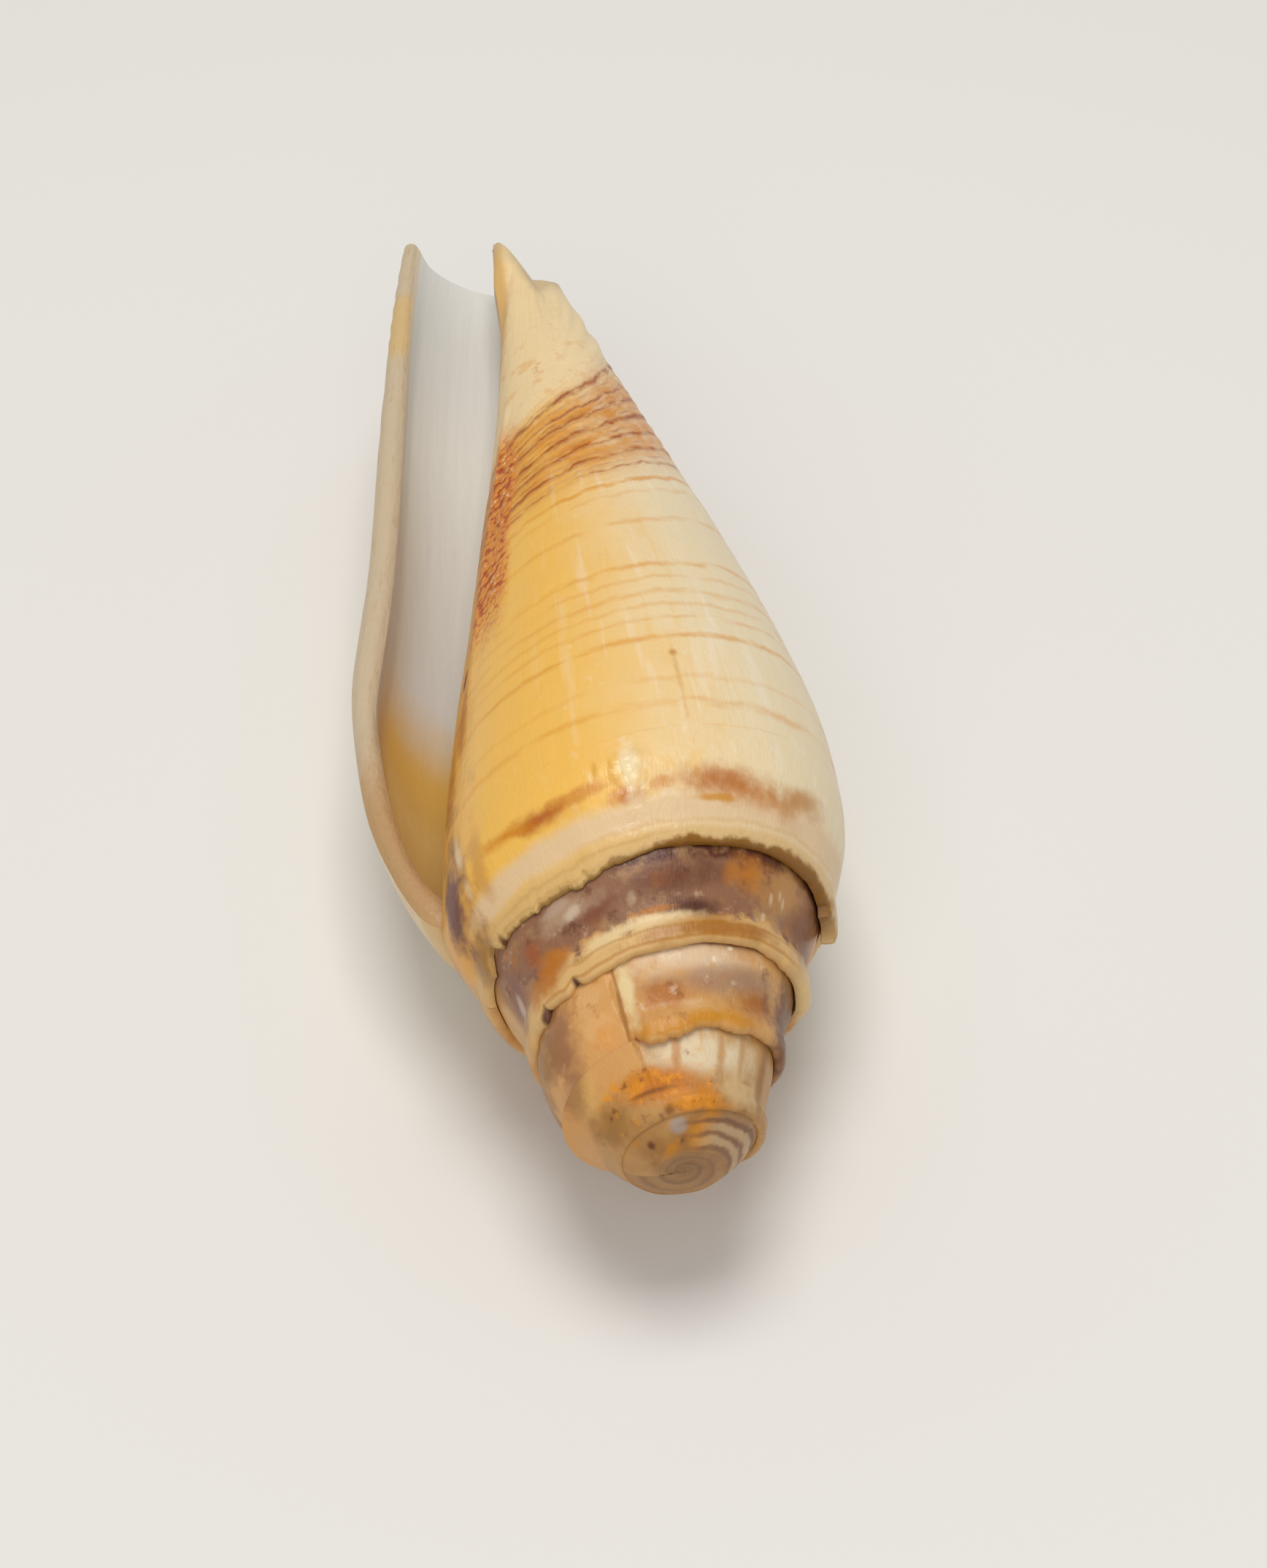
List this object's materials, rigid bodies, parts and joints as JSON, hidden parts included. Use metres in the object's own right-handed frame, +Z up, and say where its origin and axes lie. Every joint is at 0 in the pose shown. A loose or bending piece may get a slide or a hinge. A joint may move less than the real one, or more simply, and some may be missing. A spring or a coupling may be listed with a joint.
{
  "type": "cone shell",
  "caption": "Cone-shaped sea shell lying on its back, with a stepped spire, a long tapering last whorl, an open aperture with a thin outer lip, and a notch at the narrow end.",
  "frame": {"origin": "on the floor, under the middle of the shell's bounding box", "axes": "+Z up, +Y along the shell from the apex of the spire to the notched narrow end, -X to the side of the open outer lip"},
  "size_m": [0.0218, 0.06, 0.0193],
  "materials": {
    "shell": "natural shell, semi-gloss cream"
  },
  "bodies": {
    "root": {"shell": "shell"}
  },
  "joints": []
}
